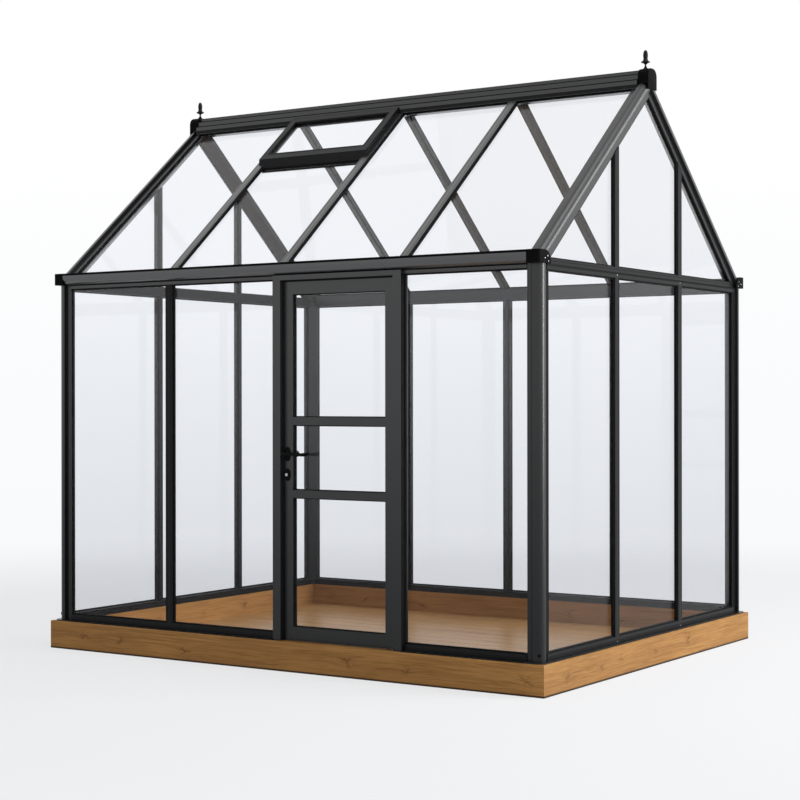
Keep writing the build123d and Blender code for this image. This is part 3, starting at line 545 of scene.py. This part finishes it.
def smooth_outline(stops, count):
    """Curve through stops of radius and height, by a cubic between each two that keeps their slopes even."""
    stops = np.asarray(stops, float)
    knots = np.arange(len(stops))
    at = np.linspace(0.0, len(stops) - 1.0, count)
    index = np.minimum(at.astype(int), len(stops) - 2)
    share = (at - index)[:, None]
    slopes = np.gradient(stops, knots, axis=0)
    first, last = stops[index], stops[index + 1]
    return ((2 * share ** 3 - 3 * share ** 2 + 1) * first
            + (share ** 3 - 2 * share ** 2 + share) * slopes[index]
            + (3 * share ** 2 - 2 * share ** 3) * last
            + (share ** 3 - share ** 2) * slopes[index + 1])


finial_place, finial_radius = 1.478, 0.023
finial_foot = [(0.0, 0.0), (0.0144, 0.0), (0.0144, 0.002)]
finial_waist = smooth_outline([
    (0.0144, 0.002), (0.0098, 0.0062), (0.0062, 0.0125), (0.0039, 0.0198), (0.0046, 0.0235), (0.0092, 0.0285),
    (0.0165, 0.0322), (0.0228, 0.0347),
], 40)
finial_bud = smooth_outline([
    (0.0228, 0.0386), (0.018, 0.0412), (0.0135, 0.0462), (0.011, 0.054), (0.0122, 0.0635), (0.0126, 0.073),
    (0.0112, 0.084), (0.0087, 0.0921), (0.005, 0.0968), (0.0, 0.0989),
], 46)
finial_outline = np.concatenate([finial_foot, finial_waist, finial_bud])
finial_outline[:, 0] = np.clip(finial_outline[:, 0], 0.0, finial_radius)
finials = [turned(finial_outline, (end * finial_place, 0.0, cap_crown), (0, 0, 1), 40) for end in (-1, 1)]
new_piece("turned_finials", gather(finials), "frame", shaded_dark_coat, ["finials"], crease=40.0)


# Glass: clear toughened panes, 4 mm, with a faint grey film that thickens towards the ground, painted shade
# over the lower panes.
# Each face mirrors a little, more at a slant and, as painted reflection, more higher up.

def clear_glass(name):
    """Two mixes: a thin grey film over clear glass, thicker low down as painted shade, then a mirror on both
    that grows with the slant and, as painted reflection, with the height.
    """
    material, surface, (x, y, z) = new_material(name)
    clear = x.make("BsdfTransparent", None, {"Color": (0.976, 0.981, 0.991, 1.0)})
    film = x.make("BsdfDiffuse", None, {"Color": (0.07, 0.076, 0.082, 1.0)})
    mirror = x.make("BsdfGlossy", None, {"Color": (1.0, 1.0, 1.0, 1.0), "Roughness": 0.02})
    ground_painted_shade, cloud_haze = 0.042, 0.006
    slant_shine, upper_painted_reflection, least_shine = 0.2, 0.022, 0.006
    cloud = x.noise(x * 1.6, y * 1.6, z * 0.9)
    haze_and_painted_shade = (1.0 - z.between(0.2, 2.2)) * ground_painted_shade + cloud * cloud_haze
    facing = x.make("LayerWeight", None, {"Blend": 0.5}, output=1)
    shine = facing ** 4.0 * slant_shine + z.between(0.2, 2.0) * upper_painted_reflection + least_shine
    # The film's share carries painted shade low down and a faint random cloud.
    dusty = x.make("MixShader", None, {0: haze_and_painted_shade, 1: clear, 2: film})
    lay(surface, x.make("MixShader", None, {0: shine, 1: dusty, 2: mirror}))
    return material


dress([name for name in nodes if finish_of[name] == "glass"], clear_glass("pane_glass"))


# Pane seals: black rubber pressed in round every pane but the door's, almost level with the bars.
# Each is one length, mitred at the corners of the opening.

def rubber(name, tone):
    """Matt black rubber with a fine skin and a little dust."""
    material, surface, (x, y, z) = new_material(name)
    pores = 700.0
    skin = x.noise(x * pores, y * pores, z * pores)
    dust = x.noise(x * 9.0, y * 9.0, z * 5.0, detail=3.0)
    clean, dusty = (0.6 * tone, 0.6 * tone, 0.62 * tone, 1.0), (1.5 * tone, 1.5 * tone, 1.5 * tone, 1.0)
    colour = (skin * 0.4 + dust * 0.6).blend(clean, dusty)
    bump = x.make("Bump", None, {"Height": skin, "Strength": 0.03, "Distance": 0.0004})
    inputs = {"Base Color": colour, "Roughness": 0.5 + skin * 0.2, "Normal": bump, "Specular IOR Level": 0.08}
    lay(surface, x.make("BsdfPrincipled", None, inputs))
    return material


def seal(corners, outward, width, height):
    """Frame along the inside of a flat outline: its section, mitred by the sum of two edges' inner normals.

    The section is given in shares of the width and the height.
    """
    corners = np.asarray(corners, float)
    outward = np.asarray(outward, float)
    onward = np.roll(corners, -1, axis=0) - corners
    onward /= np.linalg.norm(onward, axis=1, keepdims=True)
    inward = np.cross(outward, onward)
    if np.sum(inward[0] * (corners.mean(axis=0) - corners[0])) < 0.0:
        inward = -inward
    before = np.roll(inward, 1, axis=0)
    mitre = (inward + before) / (1.0 + np.sum(inward * before, axis=1, keepdims=True))
    section = np.array([(0.0, 0.03), (0.0, 1.0), (0.62, 1.0), (0.88, 0.86), (1.0, 0.55), (1.0, 0.03)])
    loops = corners[:, None] + mitre[:, None] * (section[:, :1] * width) + outward * (section[:, 1:] * height)
    return loops.reshape(-1, 3), strip_faces(len(corners), len(section), True, True)


sill_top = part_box("back_sill")[1][2]
eave_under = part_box("back_eave_rail")[0][2]
rail_low, rail_high = (corner[2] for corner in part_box("right_gable_rail"))
bar_half = 0.023
post_edge_x, post_edge_y = half_length - ear_reach, half_width - ear_reach
first_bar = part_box("front_mullion")[0][0] + bar_half
latch_low, hinge_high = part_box("latch_jamb")[0][0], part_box("hinge_jamb")[1][0]
gable_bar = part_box("right_gable_mullions")[1][1] - bar_half
glass_depth = 0.019
seal_width, seal_height = 0.008, 0.013
ear_cover = 0.007
wall_end = post_edge_x + ear_cover
bays = [(-wall_end, first_bar - bar_half), (first_bar + bar_half, -bar_half),
        (bar_half, -first_bar - bar_half), (-first_bar + bar_half, wall_end)]
front_bays = [bays[0], (bays[1][0], latch_low), (hinge_high, wall_end)]
gable_spans = [(-post_edge_y, -gable_bar - bar_half), (bar_half - gable_bar, gable_bar - bar_half),
               (gable_bar + bar_half, post_edge_y)]
# Distances from the ridge line to the upper edges of the roof panes and to both edges of the vent's own pane.
roof_head, below_vent = 0.031, 0.39
vent_head, vent_foot, vent_proud = 0.098, 0.35, 0.016


def wall_seal(low, high, side):
    """Seal of one upright pane of a long wall."""
    face = side * (half_width - glass_depth)
    places = ((low, sill_top), (high, sill_top), (high, eave_under), (low, eave_under))
    return seal([(along, face, height) for along, height in places], (0, side, 0), seal_width, seal_height)


def gable_seal(outline, end):
    """Seal of one gable pane whose outline is given in width and height."""
    face = end * (half_length - glass_depth)
    return seal([(face, along, height) for along, height in outline], (end, 0, 0), seal_width, seal_height)


def roof_seal(low, high, head, side, depth, foot=eave_run):
    """Seal of one roof pane between two runs from the ridge line."""
    places = ((low, head), (high, head), (high, foot), (low, foot))
    outline = [(along, side * run, roof_height(run, depth)) for along, run in places]
    normal = (0.0, side * math.sin(roof_angle), roof_cosine)
    return seal(outline, normal, seal_width, seal_height)


def under_barge(along):
    """Height of the lower edge of the barge bars' ears on the gable."""
    return roof_height(abs(along), ear_reach)


seals = [wall_seal(low, high, -1) for low, high in front_bays]
seals += [wall_seal(low, high, 1) for low, high in bays]
gable_reach = (under_barge(0.0) - rail_high) / roof_slope
for end in (-1, 1):
    for low, high in gable_spans:
        seals.append(gable_seal([(low, sill_top), (high, sill_top), (high, rail_low), (low, rail_low)], end))
    inner, outer = gable_bar - bar_half, gable_bar + bar_half
    seals.append(gable_seal([(-inner, rail_high), (inner, rail_high), (inner, under_barge(inner)),
                             (0.0, under_barge(0.0)), (-inner, under_barge(inner))], end))
    for side in (-1, 1):
        seals.append(gable_seal([(side * outer, rail_high), (side * gable_reach, rail_high),
                                 (side * outer, under_barge(outer))], end))
for side in (-1, 1):
    for bay, (low, high) in enumerate(bays):
        vented = side == -1 and bay == 1
        seals.append(roof_seal(low, high, below_vent if vented else roof_head, side, glass_depth))
vent_low, vent_high = (corner[0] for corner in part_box("vent_rails"))
seals.append(roof_seal(vent_low, vent_high, vent_head, -1, -vent_proud, foot=vent_foot))
black_rubber = rubber("black_rubber", tone=0.005)
new_piece("pane_seals", gather(seals), "frame", black_rubber, crease=35.0)


# Jamb linings: black rubber strips on the sides of the door jambs, next to the fixed panes.
# They are glued along the jamb from the sill to the eave.

lining = 0.002
lining_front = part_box("latch_jamb")[0][1] + lining


def jamb_lining(face, direction):
    """Thin upright strip on one side of a jamb."""
    plan = np.array([(face, lining_front), (face + direction * lining, lining_front + lining),
                     (face + direction * lining, glass_depth - half_width), (face, glass_depth - half_width)])
    loops = np.empty((2, len(plan), 3))
    loops[..., :2] = plan
    loops[..., 2] = np.array([sill_top, eave_under])[:, None]
    return loft(loops)


linings = [jamb_lining(latch_low, -1), jamb_lining(hinge_high, 1)]
new_piece("jamb_linings", gather(linings), "frame", black_rubber)


# Shadow lines: strips of black rubber in the ridge grooves, along the gable rails and on the gable ears of
# the posts, painted shade in those grooves and steps. A skirt of the shaded dark coat along the foot of the
# ridge paints the shade under its upper tier.

def bar(low, high):
    """Straight bar between two opposite corners."""
    plan = [(low[0], low[1]), (high[0], low[1]), (high[0], high[1]), (low[0], high[1])]
    return loft([[corner + (height,) for corner in plan] for height in (low[2], high[2])])


ridge_end = saddle_start
# A ridge strip has two distances from the ridge line and a foot, and a rail strip a foot and a top.
ridge_strips, ridge_strip_tall = ((0.02, 0.0255, 3.03075), (0.039, 0.0445, 2.99975)), 0.008
rail_strips, rail_strip_thick = ((1.9845, 1.9955), (2.0085, 2.011)), 0.001
ear_back, ear_front, ear_start, ear_stop = 0.018, 0.003, 0.047, 0.088
shade_skirt_inner, shade_skirt_outer, shade_skirt_low, shade_skirt_high = 0.0618, 0.0626, 2.96, 2.979
lines = []
for side in (-1, 1):
    for inner, outer, low in ridge_strips:
        lines.append(bar((-ridge_end, side * inner, low), (ridge_end, side * outer, low + ridge_strip_tall)))
for end in (-1, 1):
    for low, high in rail_strips:
        lines.append(bar((end * half_length, -post_edge_y, low),
                         (end * (half_length + rail_strip_thick), post_edge_y, high)))
for end, side in corners:
    lines.append(bar((end * (half_length - ear_back), side * (half_width - ear_start), sill_top),
                     (end * (half_length - ear_front), side * (half_width - ear_stop), rail_low)))
new_piece("shadow_lines", gather(lines), "frame", black_rubber)
shade_skirts = [bar((-ridge_end, side * shade_skirt_inner, shade_skirt_low), (ridge_end, side * shade_skirt_outer, shade_skirt_high))
          for side in (-1, 1)]
new_piece("ridge_shade_skirts", gather(shade_skirts), "frame", shaded_dark_coat)


# Door gaskets: soft black rubber on both faces of the three door panes, pressed between glass and leaf.
# A rubber strip hangs from the door header, in front of the gap over the leaf.

door_left, door_right = 0.083, 0.6415
door_openings = [(0.222, 0.871), (0.91, 1.236), (1.277, 1.894)]
door_glass = ((-1.1495, -1), (-1.1455, 1))
gasket_width, gasket_height = 0.005, 0.008
gaskets = []
for low, high in door_openings:
    places = ((door_left, low), (door_right, low), (door_right, high), (door_left, high))
    for face, outward in door_glass:
        outline = [(along, face, height) for along, height in places]
        gaskets.append(seal(outline, (0, outward, 0), gasket_width, gasket_height))
new_piece("door_gaskets", gather(gaskets), "door", black_rubber, crease=35.0)
header_low, header_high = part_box("door_header")
strip_front, strip_back, strip_drop, strip_inset = -1.1705, -1.1675, 0.008, 0.0005
header_strip = bar((header_low[0] + strip_inset, strip_front, header_low[2] - strip_drop),
                   (header_high[0] - strip_inset, strip_back, header_low[2] + strip_inset))
new_piece("header_strip", header_strip, "frame", black_rubber)


# Door furniture: domed oval roses and keyhole plates in satin black, screwed to both faces of the latch
# stile. A bright steel lock cylinder stands out of each keyhole plate.

satin_black = coat("satin_black", (0.002, 0.002, 0.0023), rough=0.26, grain=0.02, shine=0.06)
dress([name for name in nodes if finish_of[name] == "handle_metal"], satin_black)
handle_x, handle_z, keyhole_drop = 0.051, 1.09, 0.104
keyhole_z = handle_z - keyhole_drop
leaf_faces = ((-1.165, -1), (-1.13, 1))
rose_half_width, rose_thick, oval_power = 0.0178, 0.008, 0.85
# Each plate has the height of its middle and half its own height.
plate_halves = ((handle_z, 0.036), (keyhole_z, 0.031))


def rose(height, half_height, face, outward):
    """Oval dome: rings that shrink to the middle as the height rises by a fourth power, with a flat back."""
    share = np.concatenate([[0.0], [1.0], np.sqrt(1.0 - np.linspace(0.0, 1.0, 14) ** 2)])
    rise = np.concatenate([[0.0], [0.0], (1.0 - share[2:] ** 4.0) ** 0.5 * rose_thick])
    angle = np.linspace(0.0, 2.0 * math.pi, 40, endpoint=False)
    across = np.sign(np.cos(angle)) * np.abs(np.cos(angle)) ** oval_power
    upward = np.sign(np.sin(angle)) * np.abs(np.sin(angle)) ** oval_power
    loops = np.empty((len(share), len(angle), 3))
    loops[..., 0] = handle_x + rose_half_width * share[:, None] * across
    loops[..., 1] = face + outward * rise[:, None]
    loops[..., 2] = height + half_height * share[:, None] * upward
    return loops.reshape(-1, 3), strip_faces(len(share), len(angle), False, True)


plates = [rose(height, half_height, face, outward) for face, outward in leaf_faces
          for height, half_height in plate_halves]
new_piece("lock_roses", gather(plates), "door", satin_black, ["lock_plates"], crease=50.0)


def steel(name, tone, rough):
    """Bright turned steel: fine rings of roughness and a little tarnish."""
    material, surface, (x, y, z) = new_material(name)
    tarnish = x.noise(x * 60.0, y * 60.0, z * 60.0, detail=3.0)
    scratch = x.noise(x * 900.0, y * 160.0, z * 900.0, detail=1.0)
    colour = tarnish.blend([0.75 * tone, 0.75 * tone, 0.76 * tone, 1.0], [tone, tone, 1.02 * tone, 1.0])
    inputs = {"Base Color": colour, "Roughness": rough + scratch * 0.15, "Metallic": 1.0}
    lay(surface, x.make("BsdfPrincipled", None, inputs))
    return material


bright_steel = steel("bright_steel", tone=0.5, rough=0.25)
cylinder_outline = [(0.0, 0.0), (0.0078, 0.0), (0.0078, 0.0122), (0.0073, 0.0129), (0.0055, 0.013),
                    (0.005, 0.0124), (0.0, 0.0124)]
cylinders = [turned(cylinder_outline, (handle_x, face, keyhole_z), (0, outward, 0), 32)
             for face, outward in leaf_faces]
new_piece("lock_cylinders", gather(cylinders), "door", bright_steel, crease=30.0)


# Lever: a cast grip outside, oval in section and lightly waved, and a round knob inside, in satin black.
# Each is on a round neck, and both turn together on the spindle through the stile.

lever_low, lever_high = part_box("lever_handle")
grip_half_tall, grip_waist, grip_half_deep, grip_thinning = 0.0098, 0.0026, 0.0058, 0.0008
grip_wave, grip_inset = 0.0018, 0.006


def grip(middle):
    """Oval rings along the lever: half sizes and height follow sines, and the rings close in at both ends."""
    share = (1.0 - np.cos(np.linspace(0.0, math.pi, 48))) / 2.0
    angle = np.linspace(0.0, 2.0 * math.pi, 28, endpoint=False)
    ending = (1.0 - np.abs(2.0 * share - 1.0) ** 14.0) ** 0.5
    half_tall = (grip_half_tall - grip_waist * np.sin(math.pi * share) ** 1.5) * ending
    half_deep = (grip_half_deep - grip_thinning * np.sin(math.pi * share)) * ending
    wave = grip_wave * np.sin(2.0 * math.pi * share) * np.sin(math.pi * share)
    loops = np.empty((len(share), len(angle), 3))
    loops[..., 0] = (lever_low[0] + share * (lever_high[0] - lever_low[0]))[:, None]
    loops[..., 1] = middle + half_deep[:, None] * np.cos(angle)
    loops[..., 2] = handle_z + wave[:, None] + half_tall[:, None] * np.sin(angle)
    return loops.reshape(-1, 3), strip_faces(len(share), len(angle), False, True)


neck_side = smooth_outline([
    (0.009, 0.001), (0.0078, 0.006), (0.0072, 0.014), (0.0074, 0.022), (0.0085, 0.028),
], 20)
neck_outline = [(0.0, 0.0), (0.009, 0.0), (0.009, 0.001), *neck_side, (0.0, 0.028)]
neck_feet = ((-1.1731, -1), (-1.1219, 1))
knob_radius, knob_thick, knob_round, knob_edge = 0.018, 0.012, 0.0045, 0.0012
knob_rim = arc((knob_radius - knob_round, knob_thick - knob_round), knob_round, 0.0, 90.0, 7)
knob_outline = [(0.0, 0.0), (knob_radius - knob_edge, 0.0), (knob_radius, knob_edge), *knob_rim,
                (0.0, knob_thick)]
lever_shapes = [grip(lever_low[1] + grip_inset)]
lever_shapes.append(turned(knob_outline, (handle_x, lever_high[1] - knob_thick, handle_z), (0, 1, 0), 36))
lever_shapes += [turned(neck_outline, (handle_x, foot, handle_z), (0, outward, 0), 28)
                 for foot, outward in neck_feet]
new_piece("door_lever", gather(lever_shapes), "lever", satin_black, ["lever_handle"],
          crease=40.0)


# Screws: small bright steel domes, driven into the gable rails, the gable sills and the gutter caps.
# A black plastic cap hides the bolt at the foot of each post.

def dome(radius, rise, rim, back):
    """Outline from the back's middle out to the rim, then up a quarter oval to the axis."""
    turns = np.linspace(0.0, math.pi / 2, 7)
    return [(0.0, back), *zip(radius * np.cos(turns), rim + rise * np.sin(turns))]


rail_screw, sill_screw = 1.981, 0.1605
cap_screws = ((1.132, 2.027), (1.159, 2.0156), (1.124, 2.003))
screw_head = dome(radius=0.0034, rise=0.002, rim=0.0004, back=0.0)
screws = []
for end in (-1, 1):
    for along in (-gable_bar, gable_bar):
        for height in (rail_screw, sill_screw):
            screws.append(turned(screw_head, (end * half_length, along, height), (end, 0, 0), 14))
    for side in (-1, 1):
        for reach, height in cap_screws:
            screws.append(turned(screw_head, (end * cap_end, side * reach, height), (end, 0, 0), 14))
new_piece("bright_screws", gather(screws), "frame", bright_steel, crease=60.0)

bolt_turn, bolt_height = math.radians(38.0), 0.187
bolt_cap = dome(radius=0.0075, rise=0.003, rim=0.0, back=-0.002)
bolts = []
for end, side in corners:
    lean = (end * math.sin(bolt_turn), side * math.cos(bolt_turn), 0.0)
    place = (end * (half_length - nose_centre + nose_radius * math.sin(bolt_turn)),
             side * (half_width - nose_centre + nose_radius * math.cos(bolt_turn)), bolt_height)
    bolts.append(turned(bolt_cap, place, lean, 18))
new_piece("foot_bolt_caps", gather(bolts), "frame", black_moulding, crease=60.0)


# Stage: a pale matt floor that fades into a white surround.
# Three soft lights hang at the right, behind the right shoulder and above, and one camera looks on.

floor_reach, floor_drop = 60.0, 0.001
floor_plan = [(-floor_reach, -floor_reach), (floor_reach, -floor_reach), (floor_reach, floor_reach),
              (-floor_reach, floor_reach)]
mesh = bpy.data.meshes.new("stage_floor")
mesh.from_pydata([corner + (-floor_drop,) for corner in floor_plan], [], [(0, 1, 2, 3)])
floor = bpy.data.objects.new("stage_floor", mesh)
bpy.context.scene.collection.objects.link(floor)


def shown_rays(start):
    """1 for the rays that show the surround: seen by the camera, mirrored, or through glass."""
    rays = start.make("LightPath")
    seen = [Shade(rays.tree, rays.socket.node.outputs[name]) for name in
            ("Is Camera Ray", "Is Glossy Ray", "Is Transmission Ray")]
    return (seen[0] + seen[1] + seen[2]).maths("MINIMUM", 1.0)


near_white, far_white = (0.94, 0.947, 0.957, 1.0), (0.956, 0.964, 0.974, 1.0)
high_white = (1.0, 1.0, 1.0, 1.0)
floor_paint, surface, (x, y, z) = new_material("pale_floor")
distance = (x * x + y * y) ** 0.5
matt = x.make("BsdfDiffuse", None, {"Color": (0.84, 0.845, 0.86, 1.0)})
paper = distance.between(3.0, 22.0).blend(near_white, far_white)
white = x.make("Emission", None, {"Color": paper, "Strength": 1.0})
glow = distance.between(3.0, 8.0) * 0.29 + 0.71
lay(surface, x.make("MixShader", None, {0: glow * shown_rays(x), 1: matt, 2: white}))
mesh.materials.append(floor_paint)

world = bpy.data.worlds.new("white_surround")
bpy.context.scene.world = world
world.use_nodes = True
tree = world.node_tree
tree.nodes.clear()
sky = Shade(tree)
up = sky.make("SeparateXYZ", None, {0: sky.make("TexCoord", output=0)}, output=2)
backdrop = up.between(-0.02, 0.16).blend(far_white, high_white)
ambient = 0.45
strength = shown_rays(sky) * (1.0 - ambient) + ambient
background = sky.make("Background", None, {"Color": backdrop, "Strength": strength})
tree.links.new(background.socket, tree.nodes.new("ShaderNodeOutputWorld").inputs["Surface"])


def soft_light(name, place, target, size, watts):
    """Rectangular soft light at a place, turned to face a target."""
    lamp = bpy.data.lights.new(name, "AREA")
    lamp.shape = "RECTANGLE"
    lamp.size, lamp.size_y = size
    lamp.energy = watts
    light = bpy.data.objects.new(name, lamp)
    bpy.context.scene.collection.objects.link(light)
    aim = np.array(target) - np.array(place)
    light.location = place
    tilt = math.atan2(np.hypot(aim[0], aim[1]), -aim[2])
    light.rotation_euler = (tilt, 0.0, math.atan2(aim[1], aim[0]) - math.pi / 2)


soft_light("right_softbox", (7.6, 2.1, 3.0), (1.2, -0.7, 1.3), size=(1.9, 5.0), watts=400.0)
soft_light("shoulder_softbox", (6.9, 4.6, 6.2), (1.5, -0.6, 2.5), size=(2.4, 2.4), watts=105.0)
soft_light("upper_softbox", (4.2, -1.0, 8.2), (0.8, -0.5, 1.0), size=(3.5, 3.5), watts=150.0)

scene = bpy.context.scene
camera = bpy.data.cameras.new("front_right_camera")
camera.sensor_width = 36.0
camera.lens = 80.3
viewer = bpy.data.objects.new("front_right_camera", camera)
scene.collection.objects.link(viewer)
viewer.location = (5.451, -8.380, 1.375)
viewer.rotation_euler = (math.radians(90.0 - 0.083), math.radians(0.061), math.radians(33.21))
scene.camera = viewer
scene.view_settings.view_transform = "Standard"
